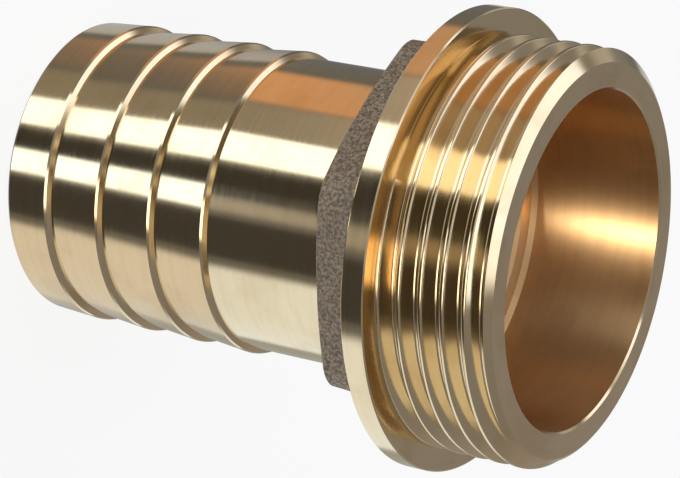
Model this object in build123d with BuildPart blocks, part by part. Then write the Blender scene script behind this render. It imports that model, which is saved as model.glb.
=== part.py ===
from build123d import *
from math import radians, tan
import os

# Hose tail: one bronze casting, turned all over except for its spanner band.
# Z runs along its axis, with the threaded end uppermost. The origin is the
# centre of the tail end face, where the hose is pushed on.

# ---------------------------------------------------------------- hose spigot
spigot_length = 38.6        # tail end face to the spanner band
spigot_d = 30.5             # plain stretch, and the foot of each barb
spigot_wall = 2.25          # leaves a 26 mm waterway

barb_count = 4
barb_height = 0.6           # crest above foot
barb_pitch = 6.35
first_crest = 5.2           # tail end face to the first crest
barb_step = 0.35            # length along the axis of the steep side of a barb
barb_edge = 0.15            # bevel that blunts each crest
tail_height = 0.3           # the first barb starts part-way up its cone
tail_edge = 0.4             # bevel that leads the hose on

# --------------------------------------------------------------- spanner band
band_width = 6.2
band_wall = 0.55            # between the wide bore and a flat, 35 mm across flats
band_corner_r = 3.0         # as cast
band_root_r = 0.8           # as cast, where the flats run out on the flange
band_bevel_deg = 13.5       # turned cone over the corners, from the tail side

# --------------------------------------------------------- threaded end, male
thread_length = 11.6        # sealing face of the flange to the end face
thread_major_d = 41.91      # 1 1/4 inch parallel pipe thread
thread_flank_deg = 27.5     # slope of a flank from a plane across the axis
relief_depth = 1.655        # clearance groove beside the flange, a little below the roots
relief_floor = 1.5
relief_corner_r = 1.0
end_bevel_height = 1.35     # radial
end_bevel_length = 1.0      # along the axis

# --------------------------------------------------------------------- flange
flange_lip = 2.4            # radial, beyond the thread
flange_thickness = 2.4
flange_edge = 0.3           # bevel on both rims

# ------------------------------------------------------------------ wide bore
wide_bore_wall = 2.35       # left under the relief groove
wide_bore_depth = 14.5
floor_corner = 0.5          # bevel left between the wall and the floor
throat_bevel = 1.45         # opens the waterway into the floor, over half of it at most
mouth_edge = 0.2            # bevel where a bore meets an end face

# ------------------------------------------------ stations, up from the tail end
band_z = spigot_length
flange_z = band_z + band_width
seal_z = flange_z + flange_thickness
end_z = seal_z + thread_length
floor_z = end_z - wide_bore_depth
crest_z = [first_crest + number * barb_pitch for number in range(barb_count)]

# ------------------------------------------------------------------------ radii
spigot_r = spigot_d / 2
tail_r = spigot_r + tail_height
crest_r = spigot_r + barb_height
hose_bore_r = spigot_r - spigot_wall
thread_r = thread_major_d / 2
end_r = thread_r - end_bevel_height
relief_r = thread_r - relief_depth
flange_r = thread_r + flange_lip
wide_bore_r = relief_r - wide_bore_wall
flat_r = wide_bore_r + band_wall

# Corners of the turned outline, as (radius, height).
crests = [(crest_r, z) for z in crest_z]
feet = [(spigot_r, z + barb_step) for z in crest_z]
rims = [(flange_r, flange_z), (flange_r, seal_z)]
relief_wall = relief_depth * tan(radians(thread_flank_deg))
relief_end_z = seal_z + relief_floor


def corners_at(places):
    """The corners of the sketch being drawn that lie on these places."""
    return [
        corner
        for corner in vertices()
        if any(abs(corner.X - x) + abs(corner.Y - y) < 0.001 for x, y in places)
    ]


def rings_at(radius, height):
    """The circular edges of the part being built that have this radius and height."""
    return [
        ring
        for ring in edges().filter_by(GeomType.CIRCLE)
        if abs(ring.radius - radius) < 0.001 and abs(ring.arc_center.Z - height) < 0.001
    ]


with BuildPart() as hose_tail:
    # Spanner band: a hexagon with cast corners, its flats facing -Y and +Y.
    with BuildSketch(Plane.XY.offset(band_z)):
        RegularPolygon(flat_r, 6, major_radius=False)
        fillet(vertices(), band_corner_r)
    extrude(amount=band_width)

    # Its tail side is turned square as far as the flats, then coned over the corners.
    with BuildSketch(Plane.XZ):
        with BuildLine():
            Polyline(
                (0, band_z),
                (flat_r, band_z),
                (flange_r, band_z + (flange_r - flat_r) * tan(radians(band_bevel_deg))),
                (flange_r, flange_z),
                (0, flange_z),
                close=True,
            )
        make_face()
    revolve(axis=Axis.Z, mode=Mode.INTERSECT)

    # Everything else outside is turned: barbs, flange, relief groove and the
    # blank that the thread is cut on, at its full diameter.
    with BuildSketch(Plane.XZ):
        with BuildLine():
            Polyline(
                (0, 0),
                (tail_r, 0),
                *[corner for barb in zip(crests, feet) for corner in barb],
                (spigot_r, flange_z),
                *rims,
                (relief_r, seal_z),
                (relief_r, relief_end_z),
                (thread_r, relief_end_z + relief_wall),
                (thread_r, end_z - end_bevel_length),
                (end_r, end_z),
                (0, end_z),
                close=True,
            )
        make_face()
        chamfer(corners_at([(tail_r, 0)]), tail_edge)
        chamfer(corners_at(crests), barb_edge)
        chamfer(corners_at(rims), flange_edge)
        fillet(corners_at([(relief_r, seal_z)]), relief_corner_r)
    revolve(axis=Axis.Z)

    # The cast flats run out on the back of the flange in a small radius.
    flat_faces = faces().filter_by(GeomType.PLANE)
    flange_back = flat_faces.sort_by(lambda face: abs(face.center().Z - flange_z))[0]
    fillet(flange_back.inner_wires()[0].edges(), band_root_r)

    # Bored from the threaded end: the waterway right through, then the wide bore.
    with Locations((0, 0, end_z)):
        CounterBoreHole(hose_bore_r, wide_bore_r, wide_bore_depth)
    chamfer(rings_at(wide_bore_r, floor_z), floor_corner)
    floor_width = wide_bore_r - floor_corner - hose_bore_r
    chamfer(rings_at(hose_bore_r, floor_z), min(throat_bevel, floor_width / 2))
    chamfer(rings_at(wide_bore_r, end_z) + rings_at(hose_bore_r, 0), mouth_edge)

hose_tail.part.label = "hose_tail"
os.makedirs("parts", exist_ok=True)
export_step(hose_tail.part, "parts/hose_tail.step")
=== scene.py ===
# %% [markdown]
# # A bronze hose tail with a pipe thread
# This notebook dresses one fitting: a hose tail that is cast in bronze and then turned on
# a lathe. One end is pushed into a hose, where four barbs hold it. The other end carries a
# pipe thread. Between the two lie a flange and a short hexagonal band for a spanner.
# The fitting is round nearly everywhere, so most of it comes from one spun outline.
#
# First the imported solid is loaded.

# %% Load the imported part
from math import atan2, cos, hypot, pi, radians, sin, sqrt, tan

import bmesh
import bpy
from mathutils import Matrix, Vector, noise


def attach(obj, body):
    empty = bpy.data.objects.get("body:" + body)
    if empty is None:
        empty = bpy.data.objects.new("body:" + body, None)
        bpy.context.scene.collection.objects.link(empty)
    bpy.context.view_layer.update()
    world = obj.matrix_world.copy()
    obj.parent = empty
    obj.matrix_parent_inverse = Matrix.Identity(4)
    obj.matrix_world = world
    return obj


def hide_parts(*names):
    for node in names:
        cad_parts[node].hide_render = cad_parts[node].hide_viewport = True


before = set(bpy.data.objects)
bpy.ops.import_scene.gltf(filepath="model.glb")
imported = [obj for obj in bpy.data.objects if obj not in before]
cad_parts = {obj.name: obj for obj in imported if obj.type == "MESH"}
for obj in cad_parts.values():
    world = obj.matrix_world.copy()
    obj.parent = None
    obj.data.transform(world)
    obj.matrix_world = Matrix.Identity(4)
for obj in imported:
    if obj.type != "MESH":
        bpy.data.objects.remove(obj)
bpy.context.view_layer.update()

MM = 0.001           # a millimetre in Blender's metres

# %% [markdown]
# ## The camera
# A long lens looks down at the threaded end at about 29 degrees, so that the bore can be
# looked into and the barbs run away from the viewer. The fitting stands on its hose end,
# and the camera is rolled by most of a quarter turn, which lays the axis across the
# picture. A camera could be aimed with a constraint, but a constraint can't hold the roll,
# so its three axes are built by hand from where it looks and what is up in the picture.

# %% Camera
lens = 146.4
camera_place = Vector((143.3, -200.9, 168.4)) * MM
look = Vector((-0.5004, 0.7169, -0.4855)).normalized()
picture_up = Vector((-0.7496, -0.6393, -0.1713)).normalized()


def make_camera():
    """Adds a camera at its place, looking along `look` with `picture_up` upwards."""
    right = look.cross(picture_up).normalized()
    up = right.cross(look)
    turn = Matrix((right, up, -look)).transposed()
    camera = bpy.data.objects.new("camera", bpy.data.cameras.new("camera"))
    camera.data.lens = lens
    camera.data.sensor_width = 36
    camera.matrix_world = Matrix.Translation(camera_place) @ turn.to_4x4()
    camera.data.clip_start = 0.01
    bpy.context.scene.collection.objects.link(camera)
    bpy.context.scene.camera = camera
    return camera


camera = make_camera()
print("camera", round(camera_place.length, 3), "m from the origin")

# %% [markdown]
# ## Sizes
# Heights run up from the hose end, and everything is measured from the axis, so the sizes
# are kept as radii and heights in millimetres, the way they would stand on a lathe
# drawing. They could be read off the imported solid, but a table can be read by people too.

# %% Sizes of the hose end
spigot_r = 15.25     # the plain stretch, and the foot of each barb
tail_r = 15.55       # the first barb starts part-way up its cone
crest_r = 15.85
crest_heights = [5.2, 11.55, 17.9, 24.25]
barb_step = 0.35     # the steep side of a barb, along the axis
hose_bore_r = 13.0

# %% Sizes of the threaded end
band_z = 38.6        # where the spanner band starts
flange_z = 44.8
seal_z = 47.2        # the flange's sealing face
end_z = 58.8

flange_r = 23.355
thread_r = 20.955    # over the thread's crests
end_r = 19.605       # the end's bevel comes in to here
end_bevel_z = 57.8

wide_bore_r = 16.95
floor_z = 44.3       # the floor of the wide bore

print("over all", 2 * flange_r, "mm across and", end_z, "mm high")

# %% [markdown]
# ## Spinning an outline
# A turned part is the same all the way round. Its outline could be a curve with a Screw
# modifier, or a stack of cylinders and cones. Here it is a loop of vertices joined by
# edges, spun about Z with `bmesh.ops.spin`. `use_merge` closes the last step on the first.

# %% Loops and spins
columns = 360        # one for each degree


def loop_of(mesh, places):
    """Joins (radius, height) places, in millimetres, into a closed loop of edges."""
    corners = [mesh.verts.new((radius * MM, 0, height * MM)) for radius, height in places]
    for first, second in zip(corners, corners[1:] + corners[:1]):
        mesh.edges.new((first, second))
    return corners


def spin_all(mesh, turns=1, rise_per_turn=0):
    """Spins all that is in the mesh round Z, and lifts it as it goes for a helix."""
    bmesh.ops.spin(
        mesh,
        geom=mesh.verts[:] + mesh.edges[:],
        cent=(0, 0, 0),
        axis=(0, 0, 1),
        dvec=(0, 0, rise_per_turn / columns * MM),
        angle=2 * pi * turns,
        steps=round(columns * turns),
        use_merge=rise_per_turn == 0,
    )


print("a spin has", columns, "steps in each turn")

# %% [markdown]
# ## Round and blunt corners
# No tool leaves a perfectly sharp corner, and it is the blunt ones that catch the light.
# A Bevel modifier could blunt them all alike. An outline is easier to bevel before it is
# spun: a corner becomes two places, and a fillet becomes a short arc of places.

# %% Arcs, bevels and finished meshes
def arc(centre, radius, start, stop, steps):
    """Places on an arc about a (radius, height) centre, both ends included."""
    turns = [radians(start + (stop - start) * step / steps) for step in range(steps + 1)]
    return [(centre[0] + radius * cos(turn), centre[1] + radius * sin(turn)) for turn in turns]


def bevelled(corner, before, after, size):
    """Two places that take a corner's place, `size` along each of its two sides."""
    here = Vector(corner)
    sides = [(Vector(other) - here).normalized() * size for other in (before, after)]
    return [tuple(here + side) for side in sides]


def finished(mesh, name, smooth_angle=25):
    """Merges doubles, turns the faces outwards and makes the mesh an object."""
    bmesh.ops.remove_doubles(mesh, verts=mesh.verts[:], dist=0.001 * MM)
    bmesh.ops.recalc_face_normals(mesh, faces=mesh.faces[:])
    for face in mesh.faces:
        face.smooth = True
    for edge in mesh.edges:
        edge.smooth = edge.calc_face_angle(pi) < radians(smooth_angle)
    data = bpy.data.meshes.new(name)
    mesh.to_mesh(data)
    mesh.free()
    piece = bpy.data.objects.new(name, data)
    bpy.context.scene.collection.objects.link(piece)
    return piece


print("a bevelled corner:", bevelled((1, 1), (0, 1), (1, 2), 0.25))

# %% [markdown]
# ## The spanner band
# The casting leaves a hexagon between the spigot and the flange. It isn't turned, so its
# corners are round. It could be a separate prism cut into the body, but a spun outline
# already has a wall there: the wall's vertices only have to move out or in until they lie
# on the hexagon, and the mesh stays in one piece.
#
# `hexagon_radius` folds the angle on to one sixth of the hexagon. Past the corner's round
# it returns the flat, and within it the round, which is a circle about a point further in.

# %% A hexagon with round corners
flat_r = 17.5        # half of 35 mm across flats
corner_round = 3.0


def hexagon_radius(angle, grow):
    """How far the outline, grown by `grow`, is from the axis at this angle."""
    off_corner = abs((angle + pi / 6) % (pi / 3) - pi / 6)
    middle = (flat_r - corner_round) / cos(pi / 6)
    rounding = corner_round + grow
    end_of_round = atan2(rounding * sin(pi / 6), middle + rounding * cos(pi / 6))
    if off_corner > end_of_round:
        return (flat_r + grow) / cos(pi / 6 - off_corner)
    return middle * cos(off_corner) + sqrt(rounding**2 - (middle * sin(off_corner)) ** 2)


print("over its corners the band is", round(2 * hexagon_radius(0, 0), 2), "mm")

# %% [markdown]
# ## The rows of the band's wall
# The wall is a list of rows, from its tail side to the flange. Each row says how much the
# hexagon is grown there, what share of the wall's height it lies at, and how far it is
# lifted above that. The last rows curve outwards, where the casting runs out on the flange.

# %% Rows
root_round = 0.8
band_edge = 0.15
band_rows = 18
root_rows = 6

wall_rows = [(-band_edge, 0, 0), (0, 0, band_edge)]
wall_rows += [(0, row / band_rows, 0) for row in range(1, band_rows + 1)]
for row in range(1, root_rows + 1):
    turn = pi / 2 * row / root_rows
    wall_rows.append((root_round * (1 - cos(turn)), 1, root_round * sin(turn)))

print(len(wall_rows), "rows of vertices in the band's wall")

# %% [markdown]
# ## The skin of the casting
# Sand leaves small bumps. They could be bump mapping alone, but the band's outline is in
# full view, so the larger ones are real: two sizes of noise push the wall's vertices out
# and in by a few hundredths of a millimetre. The lathe has also turned a shallow cone over
# the hexagon's corners on the tail side, which lifts the wall's first row there.

# %% Vertices on the band
band_cone = tan(radians(13.5))
flange_gap = 0.05    # the sand's bumps stop this far short of the flange
coarse_size, coarse_depth = 1.3, 0.035
fine_size, fine_depth = 0.55, 0.045
elsewhere = Vector((40, 0, 0))


def sand_grain(place):
    """How far the skin stands out here, in millimetres, from the sand of the mould."""
    coarse = noise.noise(place / coarse_size)
    fine = noise.noise(place / fine_size + elsewhere)
    return coarse_depth * coarse + fine_depth * fine


def place_on_band(vertex, grow, share, lift):
    """Moves a vertex of the band's wall on to the hexagon."""
    angle = atan2(vertex.co.y, vertex.co.x)
    radius = hexagon_radius(angle, grow)
    tail_side = band_z + max(0, hexagon_radius(angle, min(grow, 0)) - flat_r) * band_cone
    foot = flange_z - root_round
    height = tail_side + (foot - tail_side) * share + lift
    place = Vector((radius * cos(angle), radius * sin(angle), height))
    if 0 < share and height < flange_z - flange_gap:
        place *= 1 + sand_grain(place) / radius
        place.z = height
    vertex.co = place * MM


some_place = Vector((flat_r, 0, band_z))
print("at one spot the sand stands out by", round(sand_grain(some_place), 3), "mm")

# %% [markdown]
# ## The turned body
# The outline goes once round the metal: up the barbs from the hose end, out over the
# flange, up the blank that the thread is cut in, over the end and back down the bores. It
# passes through the band's wall as a plain stretch, whose vertices carry their row's
# number, so that they can be found and moved on to the hexagon after the spin.

# %% The outline
crest_bevel = 0.15
rim_bevel = 0.13
mouth_bevel = 0.2
tail_bevel = 0.4
floor_bevel = 0.5
throat_bevel = 1.45  # opens the hose bore into the floor of the wide bore
band_lip = 0.3       # the spigot's shoulder stops this far inside the flats


def body_outline():
    """The outline's places, and the number of the first one on the band's wall."""
    outline = [(hose_bore_r, mouth_bevel), (hose_bore_r + mouth_bevel, 0)]
    outline += [(tail_r - tail_bevel, 0), (tail_r, tail_bevel)]
    below = (tail_r, tail_bevel)
    for height in crest_heights:
        foot = (spigot_r, height + barb_step)
        outline += bevelled((crest_r, height), below, foot, crest_bevel) + [foot]
        below = foot
    outline += [(spigot_r, band_z), (flat_r - band_lip, band_z)]
    first_row = len(outline)
    outline += [(flat_r + grow, band_z + share) for grow, share, lift in wall_rows]
    outline += [(flange_r - rim_bevel, flange_z), (flange_r, flange_z + rim_bevel)]
    outline += [(flange_r, seal_z - rim_bevel), (flange_r - rim_bevel, seal_z)]
    outline += [(thread_r, seal_z), (thread_r, end_bevel_z), (end_r, end_z)]
    outline += [(wide_bore_r + mouth_bevel, end_z), (wide_bore_r, end_z - mouth_bevel)]
    outline += [(wide_bore_r, floor_z + floor_bevel), (wide_bore_r - floor_bevel, floor_z)]
    outline += [(hose_bore_r + throat_bevel, floor_z), (hose_bore_r, floor_z - throat_bevel)]
    return outline, first_row


print(len(body_outline()[0]), "places in the outline")

# %% [markdown]
# The spin makes the whole body at once. The row numbers lie in a layer of whole numbers,
# and `bmesh.ops.spin` copies a layer's values to the vertices that it makes.

# %% The body
def make_body():
    """Spins the outline and sets the band's wall on the hexagon."""
    mesh = bmesh.new()
    row_number = mesh.verts.layers.int.new("row_number")
    outline, first_row = body_outline()
    corners = loop_of(mesh, outline)
    for number in range(len(wall_rows)):
        corners[first_row + number][row_number] = number + 1
    spin_all(mesh)
    for vertex in mesh.verts:
        if vertex[row_number]:
            place_on_band(vertex, *wall_rows[vertex[row_number] - 1])
    return mesh


body = finished(make_body(), "turned_body")
print(body.name, len(body.data.polygons), "faces")

# %% [markdown]
# ## The thread's groove
# A pipe thread is a groove that winds up the blank. Its flanks lean at 27.5 degrees, and its
# crests and roots are round. It could be faked with bump, but the crests show in the
# outline, so the groove is real, and it starts with its cross section.
#
# The section is symmetrical: a small arc that rounds a crest, a straight flank, the arc of
# the root, and the same again mirrored. The crest's arc touches the flank where a line at
# 27.5 degrees meets it, and `fall` is how far it lies in from the middle of the flank.

# %% The groove's cross section
pitch = 2.309        # 11 threads to the inch
thread_depth = 1.479
flank_turn = 27.5
root_rounding = 0.317
crest_rounding = 0.27
crest_start = 6      # the crest's arc starts this far past level, in degrees
crest_steps = 4
root_steps = 8
overcut = 0.5        # the groove is closed this far outside the blank


def groove_section():
    """Places round the worm that is cut away, about its own height of zero."""
    lean = radians(flank_turn)
    root_middle = thread_r - thread_depth + root_rounding
    crest_middle = thread_r - crest_rounding
    fall = crest_rounding + sin(lean) * (thread_depth / 2 - crest_rounding)
    centre = (crest_middle, -pitch / 4 - fall / cos(lean))
    low = arc(centre, crest_rounding, crest_start, 90 - flank_turn, crest_steps)
    root = arc((root_middle, 0), root_rounding, 270 - flank_turn, 90 + flank_turn, root_steps)
    high = [(radius, -height) for radius, height in reversed(low)]
    outside = thread_r + overcut
    return [(outside, low[0][1])] + low + root + high + [(outside, high[-1][1])]


print(len(groove_section()), "places round the groove")

# %% [markdown]
# ## The worm
# Spun with a rise of one pitch for each turn, the section sweeps out a long worm, which is
# the metal that the threading tool takes away. The tool stops at the flange, so whatever
# of the worm lies below the sealing face is cut off, and the cut is filled. That leaves a
# thread that runs out against the flange, with a hair's breadth of ledge under it.

# %% The worm that is cut away
groove_start_z = 46.2
groove_start_turn = -9
groove_steps = 2183
ledge = 0.05


def stop_at_flange(mesh):
    """Cuts off what lies below the flange's face, and closes the cut."""
    cut = bmesh.ops.bisect_plane(
        mesh,
        geom=mesh.verts[:] + mesh.edges[:] + mesh.faces[:],
        plane_co=(0, 0, (seal_z + ledge) * MM),
        plane_no=(0, 0, 1),
        clear_inner=True,
    )
    edges = [part for part in cut["geom_cut"] if isinstance(part, bmesh.types.BMEdge)]
    bmesh.ops.triangle_fill(mesh, edges=edges, use_beauty=True)


def make_worm():
    """Spins the groove's section up the blank as one closed worm."""
    mesh = bmesh.new()
    section = groove_section()
    loop_of(mesh, [(radius, groove_start_z + height) for radius, height in section])
    start = Matrix.Rotation(radians(groove_start_turn), 3, "Z")
    bmesh.ops.rotate(mesh, verts=mesh.verts[:], matrix=start)
    spin_all(mesh, groove_steps / columns, pitch)
    bmesh.ops.holes_fill(mesh, edges=mesh.edges[:], sides=len(section))
    stop_at_flange(mesh)
    return mesh


worm = finished(make_worm(), "worm")
print("the worm winds", round(groove_steps / columns, 2), "times round")

# %% [markdown]
# ## Cutting the thread
# A Boolean modifier takes the worm out of the body. Its exact solver copes with faces that
# all but touch, as the worm's neighbouring turns do at each crest. The modifier could stay
# live, but the finishes are given to faces by where they lie, so its result becomes the
# body's own mesh.

# %% The cut
def take_shape(piece):
    """Makes what the piece's modifiers show its own mesh, and removes them."""
    bpy.context.view_layer.update()
    shown = piece.evaluated_get(bpy.context.evaluated_depsgraph_get())
    data = bpy.data.meshes.new_from_object(shown)
    piece.modifiers.clear()
    piece.data = data


def cut_away(piece, tool):
    """Takes the tool's solid out of the piece, and removes the tool."""
    cut = piece.modifiers.new("cut", "BOOLEAN")
    cut.operation = "DIFFERENCE"
    cut.solver = "EXACT"
    cut.object = tool
    take_shape(piece)
    bpy.data.objects.remove(tool)


cut_away(body, worm)
print("threaded:", len(body.data.polygons), "faces")

# %% [markdown]
# ## Even shading
# A Boolean leaves slivers, and a sliver's normal is as good as any other's when normals are
# averaged, and that shows as dents in polished metal. Vertices that all but coincide are
# merged, edges past 28 degrees are marked sharp, and a Weighted Normal modifier lets the
# large faces rule the shading.

# %% Clean edges
sharp_angle = 28
double_distance = 0.002
sliver_size = 0.001


def shade_by_angle(piece):
    """Marks the sharp edges, and lets large faces rule the shading."""
    mesh = bmesh.new()
    mesh.from_mesh(piece.data)
    bmesh.ops.remove_doubles(mesh, verts=mesh.verts[:], dist=double_distance * MM)
    bmesh.ops.dissolve_degenerate(mesh, edges=mesh.edges[:], dist=sliver_size * MM)
    bmesh.ops.recalc_face_normals(mesh, faces=mesh.faces[:])
    for face in mesh.faces:
        face.smooth = True
    for edge in mesh.edges:
        edge.smooth = edge.calc_face_angle(pi) < radians(sharp_angle)
    mesh.to_mesh(piece.data)
    mesh.free()
    even = piece.modifiers.new("even", "WEIGHTED_NORMAL")
    even.keep_sharp = True
    take_shape(piece)


shade_by_angle(body)
print("shaded:", len(body.data.polygons), "faces")

# %% [markdown]
# ## Shader sums
# Finishes are made of many small sums, and a page of nodes is hard to read. One class
# wraps a node's output, so that `1 - mask * 0.5` adds the Math nodes by itself. `node` adds
# a node of any other kind, with its settings first and then what goes into its sockets.

# %% A class for sums on sockets
class Flow:
    """A node's output. Sums on it add Math nodes, and `node` adds any other node."""

    def __init__(self, tree, socket=None):
        self.tree = tree
        self.socket = socket

    def node(self, kind, settings=None, sockets=None, output=0):
        """Adds a node: its settings first, then the values or links of its sockets."""
        node = self.tree.nodes.new(kind)
        for name, value in (settings or {}).items():
            setattr(node, name, value)
        for name, value in (sockets or {}).items():
            if isinstance(value, Flow):
                self.tree.links.new(value.socket, node.inputs[name])
            else:
                node.inputs[name].default_value = value
        return Flow(self.tree, node.outputs[output] if node.outputs else None)

    def math(self, operation, *values):
        """A Math node on these values."""
        return self.node("ShaderNodeMath", {"operation": operation}, dict(enumerate(values)))

    def __add__(self, other):
        return self.math("ADD", self, other)

    def __radd__(self, other):
        return self.math("ADD", other, self)

    def __sub__(self, other):
        return self.math("SUBTRACT", self, other)

    def __rsub__(self, other):
        return self.math("SUBTRACT", other, self)

    def __mul__(self, other):
        return self.math("MULTIPLY", self, other)

    def __rmul__(self, other):
        return self.math("MULTIPLY", other, self)

    def __truediv__(self, other):
        return self.math("DIVIDE", self, other)

    def __abs__(self):
        return self.math("ABSOLUTE", self)


print("sums on sockets ready")

# %% [markdown]
# ## Masks, colours and parts of a place
# A mask says where a finish changes, and `rise` makes one with soft ends out of any value.
# `mix` runs from one colour to another by such a mask. `parts_of` splits a place or a
# direction into its three numbers, because both the cards and the lathe's marks need them.

# %% Small helpers for node trees
def rise(value, low, high, bottom=0, top=1):
    """Runs smoothly from `bottom` at `low` to `top` at `high`."""
    return value.node(
        "ShaderNodeMapRange",
        {"interpolation_type": "SMOOTHSTEP"},
        {"Value": value, "From Min": low, "From Max": high, "To Min": bottom, "To Max": top},
    )


def mix(share, first, second):
    """A colour that runs from the first to the second as the share rises."""
    ends = [(*end, 1) if isinstance(end, tuple) else end for end in (first, second)]
    sockets = {0: share, 6: ends[0], 7: ends[1]}
    return share.node("ShaderNodeMix", {"data_type": "RGBA"}, sockets, output=2)


def parts_of(vector):
    """The three numbers of a vector."""
    split = vector.node("ShaderNodeSeparateXYZ", sockets={0: vector})
    return [Flow(split.tree, socket) for socket in split.socket.node.outputs]


def new_tree(owner):
    """Empties the owner's nodes and gives a Flow to add new ones with."""
    owner.use_nodes = True
    owner.node_tree.nodes.clear()
    return Flow(owner.node_tree)


print("masks and mixes ready")

# %% [markdown]
# ## The studio's cards
# Polished metal has hardly any colour of its own to show. It shows the room. Turned metal
# is often shown inside a ring of white cards with dark gaps between them, and the cards
# become the bright streaks along its axis. The cards could be planes with light in them,
# but planes get in each other's way. Here each is a patch of the world between two turns
# and two heights, in degrees, as seen from the part. A turn of 0 is the camera's side.
#
# The camera looks down, so an upright wall mirrors the cards below the horizon. The bevel
# at the end mirrors those high above it, and the end face one strip behind the part. That
# is why the list has cards at every height, and why each can be set without the others.

# %% Cards round the part
front = -54.5        # the turn about Z that the camera stands at

room = (0.16, 0.165, 0.17)
cards = [
    # from turn, to turn, from height, to height, softness, brightness as a colour
    (-180, 180, 0, 90, 12, (0.26, 0.26, 0.27)),
    (-176, -130, -80, -33, 6, (0.5, 0.52, 0.55)),
    (-150, -130, 0, 20, 5, (0.5, 0.5, 0.5)),
    (120, 180, 0, 24, 16, (0.34, 0.32, 0.32)),
    (-180, -163, -28, -8, 5, (0.6, 0.6, 0.62)),
    (-118, -78, -37, 10, 9, (0.80, 0.45, 0.26)),
    (-76, -50, -60, 5, 9, (0.30, 0.28, 0.25)),
    (-118, -78, -29.2, 10, 2, (0.6, 0.4, 0.27)),
    (-76, -50, -29.2, 5, 2, (0.52, 0.48, 0.45)),
    (-48, -24, -90, 24, 3, (2.0, 2.2, 2.4)),
    (-20, 3, -90, 10, 5, (0.045, 0.045, 0.04)),
    (-3, 16, -90, -37, 3, (1.9, 2.2, 2.6)),
    (5, 15, -36, 10, 6, (0.42, 0.41, 0.4)),
    (20, 52, -90, 15, 4, (0.06, 0.06, 0.06)),
    (60, 172, -90, -35, 8, (0.84, 0.84, 0.84)),
    (60, 140, -35, 0, 8, (0.98, 1.1, 1.25)),
    (140, 172, -35, 0, 8, (0.4, 0.42, 0.4)),
    (-100, 30, 30, 60, 10, (0.8, 0.8, 0.85)),
    (-134, -104, 26, 60, 6, (1.5, 1.6, 1.9)),
    (-120, -50, 52, 80, 6, (1.5, 1.6, 1.9)),
    (10, 36, 8, 40, 8, (3.0, 2.8, 2.6)),
    (-180, 180, 76, 90, 4, (1.7, 1.8, 2.1)),
]
print(len(cards), "cards")

# %% [markdown]
# ## Painting the world
# The world is asked for its colour in one direction at a time. The direction's turn and
# height come from its three numbers, and each card is then mixed over those before it, as
# one sheet is laid over another. A card all the way round needs no ends, and one that
# reaches the zenith needs no top.

# %% The world
full_turn = 360
degrees_in_radian = 180 / pi


def make_world():
    """Paints the cards on the world, the last over the first."""
    world = bpy.data.worlds.new("studio")
    bpy.context.scene.world = world
    tree = new_tree(world)
    x, y, z = parts_of(tree.node("ShaderNodeTexCoord"))
    turn = tree.math("ARCTAN2", y, x) * degrees_in_radian - front
    height = tree.math("ARCSINE", z) * degrees_in_radian
    colour = room
    for first, last, low, high, soft, light in cards:
        middle = (first + last) / 2
        half = (last - first) / 2
        across = abs(tree.math("WRAP", turn - middle, full_turn / 2, -full_turn / 2))
        all_round = last - first == full_turn
        inside = 1 if all_round else rise(across, half + soft / 2, half - soft / 2)
        above = rise(height, low - soft / 2, low + soft / 2)
        below = rise(height, high + soft / 2, high - soft / 2) if high < 90 else 1
        colour = mix(above * inside * below, colour, light)
    light = tree.node("ShaderNodeBackground", sockets={"Color": colour, "Strength": 1})
    tree.node("ShaderNodeOutputWorld", sockets={"Surface": light})
    return world


world = make_world()
print("the world has", len(world.node_tree.nodes), "nodes")

# %% [markdown]
# ## The floor
# The floor is pale and plain. To the camera and to metal it is mixed with plain white, so
# that it reads as a white sweep, and it still takes the fitting's shadow. It could block
# the cards below the horizon, so it is hidden from glossy and shadow rays.

# %% Floor
floor_reach = 3
floor_colour = (0.92, 0.9, 0.86, 1)
white_share = 0.88


def paint_floor(material):
    """Mixes matt paint with plain white, by the kind of ray that arrives."""
    tree = new_tree(material)
    rays = tree.node("ShaderNodeLightPath").socket.node.outputs
    kinds = ("Is Camera Ray", "Is Glossy Ray", "Is Transmission Ray")
    camera_ray, glossy_ray, clear_ray = [Flow(tree.tree, rays[kind]) for kind in kinds]
    seen = camera_ray + glossy_ray + clear_ray
    matt = tree.node("ShaderNodeBsdfDiffuse", sockets={"Color": floor_colour})
    white = tree.node("ShaderNodeEmission", sockets={"Color": (1, 1, 1, 1), "Strength": 1})
    both = tree.node("ShaderNodeMixShader", sockets={0: seen * white_share, 1: matt, 2: white})
    tree.node("ShaderNodeOutputMaterial", sockets={"Surface": both})


def make_floor():
    """Adds a wide floor under the part."""
    mesh = bmesh.new()
    bmesh.ops.create_grid(mesh, x_segments=1, y_segments=1, size=floor_reach)
    data = bpy.data.meshes.new("floor")
    mesh.to_mesh(data)
    mesh.free()
    floor = bpy.data.objects.new("floor", data)
    bpy.context.scene.collection.objects.link(floor)
    data.materials.append(bpy.data.materials.new("floor_white"))
    paint_floor(data.materials[0])
    floor.visible_glossy = False
    floor.visible_shadow = False
    return floor


floor = make_floor()
print("floor", 2 * floor_reach, "m across")

# %% [markdown]
# ## A lamp for the bore
# Cards light the outside. The bore is deep, and it would look like a hole, so one small
# lamp looks in over the rim and leaves a glow on the far wall, as a torch would. A mirror
# sends light back at the same turn on the other side of its normal, so the lamp is aimed
# at the stretch of wall that faces halfway between the lamp and the camera.

# %% Lamp
lamp_turn = 24       # from the camera's turn
lamp_height = 20
lamp_distance = 300
lamp_power = 4.5
lamp_cone = 4.0
lamp_size = 4
lamp_colour = (1.0, 0.95, 0.86)
below_rim = 3        # the lamp is aimed this far below the end face


def place_at(radius, turn, height):
    """A place in millimetres, from its radius, its turn in degrees and its height."""
    return Vector((radius * cos(radians(turn)), radius * sin(radians(turn)), height))


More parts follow.
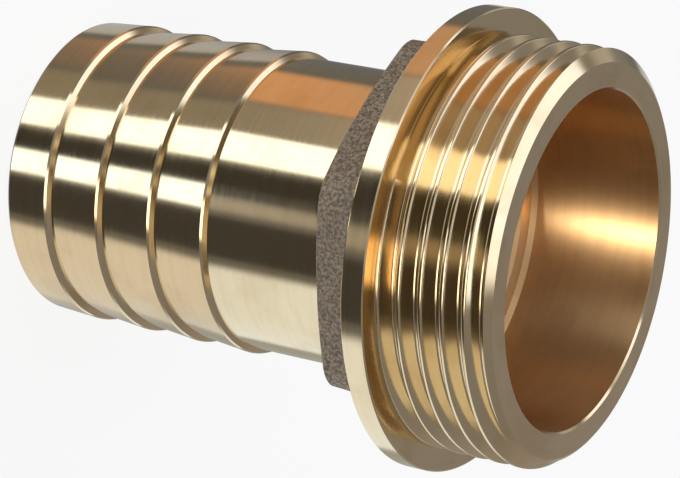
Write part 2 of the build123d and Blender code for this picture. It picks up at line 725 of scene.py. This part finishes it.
def make_lamp():
    """Aims a narrow lamp at the bore's far wall, just below the rim."""
    wall_turn = front + lamp_turn / 2 + 180
    target = place_at(wide_bore_r, wall_turn, end_z - below_rim)
    level = radians(lamp_height)
    way = place_at(cos(level), front + lamp_turn, sin(level))
    data = bpy.data.lights.new("bore_lamp", "SPOT")
    data.energy = lamp_power
    data.color = lamp_colour
    data.spot_size = radians(lamp_cone)
    data.spot_blend = 1
    data.shadow_soft_size = lamp_size * MM
    lamp = bpy.data.objects.new("bore_lamp", data)
    lamp.location = (target + way * lamp_distance) * MM
    lamp.rotation_euler = way.to_track_quat("Z", "Y").to_euler()
    bpy.context.scene.collection.objects.link(lamp)
    return lamp


lamp = make_lamp()
print("lamp at", [round(value / MM) for value in lamp.location], "mm")

# %% [markdown]
# ## Marks of the lathe
# A turning tool leaves fine rings round the axis. Rings could be a Wave texture, but real
# ones are uneven. Here noise is drawn out round the axis: it is sampled at the direction
# from the axis, which changes slowly, and at the distance along the surface, which changes
# fast. The radius counts too, so that flat faces and flanks get rings as well as walls.

# %% Noise for the finishes
radius_share = 0.8   # how much the radius counts beside the height


def lathe_marks(tree, spacing, streak):
    """Noise drawn out round the axis, as a turning tool leaves it, `spacing` mm apart."""
    x, y, z = parts_of(tree.node("ShaderNodeTexCoord", output=3))
    radius = tree.math("SQRT", x * x + y * y)
    along = (z + radius * radius_share) / (spacing * MM)
    around = {0: x / radius * streak, 1: y / radius * streak, 2: along}
    way = tree.node("ShaderNodeCombineXYZ", sockets=around)
    noise_sockets = {"Vector": way, "Scale": 1, "Detail": 2, "Roughness": 0.6}
    return tree.node("ShaderNodeTexNoise", sockets=noise_sockets)


def blotches(tree, size, detail=3):
    """Soft noise in patches about `size` mm across."""
    place = tree.node("ShaderNodeTexCoord", output=3)
    scale = 1 / (size * MM)
    noise_sockets = {"Vector": place, "Scale": scale, "Detail": detail, "Roughness": 0.55}
    return tree.node("ShaderNodeTexNoise", sockets=noise_sockets)


print("noise ready")

# %% [markdown]
# ## Turned bronze
# Bronze off the lathe is bright, but its rings spread each reflection along the axis and
# not round it. Rings fine enough to do that are finer than a pixel, so the shader's own
# anisotropy does it, turned a quarter. The rings that can be seen are a slight bump, and
# handling leaves faint stains in patches and along some rings. The bores are cut with a
# coarser feed and aren't polished, so their finish is the same recipe, only rougher. Their
# colour is deeper too: partly the metal's own, partly painted shade that keeps the deep
# bore dark.

# %% Turned finish
fine_rings = 0.16    # spacing in millimetres
broad_rings = 0.7
fine_share = 0.6     # of the bump; the broad rings have the rest
stain_size = 7
patch_stain = 0.5    # how far the colour goes to the stained one
ring_stain = 0.25
ring_dullness = 0.04
stain_dullness = 0.03
quarter_turn = 0.25


def turned_finish(name, roughness, anisotropy, mark_depth, colour, stain_colour):
    """Bronze off the lathe: fine marks round the axis, and a little staining."""
    material = bpy.data.materials.new(name)
    tree = new_tree(material)
    fine = lathe_marks(tree, fine_rings, 3)
    broad = lathe_marks(tree, broad_rings, 2)
    stain = rise(blotches(tree, stain_size), 0.45, 0.75)
    stained_share = stain * patch_stain + rise(broad, 0.4, 0.8) * ring_stain
    height = fine * fine_share + broad * (1 - fine_share)
    bump_sockets = {"Strength": 1, "Distance": mark_depth * MM, "Height": height}
    bump = tree.node("ShaderNodeBump", sockets=bump_sockets)
    sockets = {
        "Base Color": mix(stained_share, colour, stain_colour),
        "Metallic": 1,
        "Roughness": roughness + rise(fine, 0.3, 0.7) * ring_dullness + stain * stain_dullness,
        "Anisotropic": anisotropy,
        "Anisotropic Rotation": quarter_turn,
        "Normal": bump,
    }
    shader = tree.node("ShaderNodeBsdfPrincipled", sockets=sockets)
    tree.node("ShaderNodeOutputMaterial", sockets={"Surface": shader})
    return material


bright = (0.78, 0.615, 0.38)
stained = (0.66, 0.47, 0.25)
# The bore's colours are darker than the turned ones partly as painted shade, which keeps the
# deep bore dark.
bored = (0.66, 0.42, 0.20)
bored_stained = (0.5, 0.3, 0.13)

body.data.materials.clear()
body.data.materials.append(turned_finish("turned_bronze", 0.10, 0.6, 0.004, bright, stained))
print("turned finish made")

# %% [markdown]
# ## Cast bronze
# The band keeps the skin that the sand left: dull, grainy and browner than the turned
# faces. Its larger bumps are in the mesh already. The grain between them is bump, and the
# same noise darkens the hollows, where oxide stays, and leaves the tops a little smoother.
# It isn't fully metallic, because a skin of oxide covers part of it.

# %% Cast finish
hollow_colour = (0.185, 0.145, 0.1)
top_colour = (0.43, 0.35, 0.255)
grain_size = 0.3     # in millimetres, as are the next two
pit_size = 0.2
grain_depth = 0.09
pit_share = 0.5      # how deep a pit is beside the grain
cast_metal = 0.7
cast_roughness = 0.6
top_polish = 0.12    # how much less rough the tops of the grain are


def cast_finish():
    """Bronze as it leaves the sand: dull, grainy and browner than the turned faces."""
    material = bpy.data.materials.new("cast_bronze")
    tree = new_tree(material)
    grain = blotches(tree, grain_size, 2)
    pits = rise(blotches(tree, pit_size, 2), 0.42, 0.6)
    height = grain + pits * pit_share
    bump_sockets = {"Strength": 1, "Distance": grain_depth * MM, "Height": height}
    sockets = {
        "Base Color": mix(rise(grain, 0.3, 0.7), hollow_colour, top_colour),
        "Metallic": cast_metal,
        "Roughness": cast_roughness - rise(grain, 0.4, 0.7) * top_polish,
        "Normal": tree.node("ShaderNodeBump", sockets=bump_sockets),
    }
    shader = tree.node("ShaderNodeBsdfPrincipled", sockets=sockets)
    tree.node("ShaderNodeOutputMaterial", sockets={"Surface": shader})
    return material


body.data.materials.append(cast_finish())
body.data.materials.append(turned_finish("bored_bronze", 0.38, 0.9, 0.003, bored, bored_stained))
print([material.name for material in body.data.materials])

# %% [markdown]
# ## Which face has which finish
# The three finishes could be masks in one material. A face lies wholly on one stretch of
# the fitting, though, so its middle says which finish it has: between the spigot and the
# flange and outside the shoulder it is cast, within the bores it is bored, and anywhere
# else it is turned.

# %% Finishes by face
turned, cast, in_bore = 0, 1, 2
band_margin = 0.02   # the margins keep faces that lie on a limit on its right side
shoulder_margin = 0.25
hose_bore_margin = 0.05
wide_bore_margin = 0.01


def finish_at(radius, height):
    """The number of the finish at this radius and height in millimetres."""
    beside_band = band_z + band_margin < height < flange_z - band_margin
    if beside_band and radius > flat_r - shoulder_margin:
        return cast
    if radius < hose_bore_r + hose_bore_margin:
        return in_bore
    in_wide_bore = floor_z - throat_bevel < height < end_z - mouth_bevel
    if in_wide_bore and radius < wide_bore_r + wide_bore_margin:
        return in_bore
    return turned


def place_finishes(piece):
    """Gives each face the finish of the stretch of the fitting that it lies on."""
    counts = [0, 0, 0]
    for face in piece.data.polygons:
        radius = hypot(face.center.x, face.center.y) / MM
        face.material_index = finish_at(radius, face.center.z / MM)
        counts[face.material_index] += 1
    return counts


print("faces turned, cast and bored:", place_finishes(body))

# %% [markdown]
# ## Hand over
# The body rides on the part's one rigid body and stands for the plain solid. Colours are
# shown as they are written, with no film look.

# %% Hand over
bpy.context.scene.view_settings.view_transform = "Standard"
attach(body, "root")
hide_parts("hose_tail")
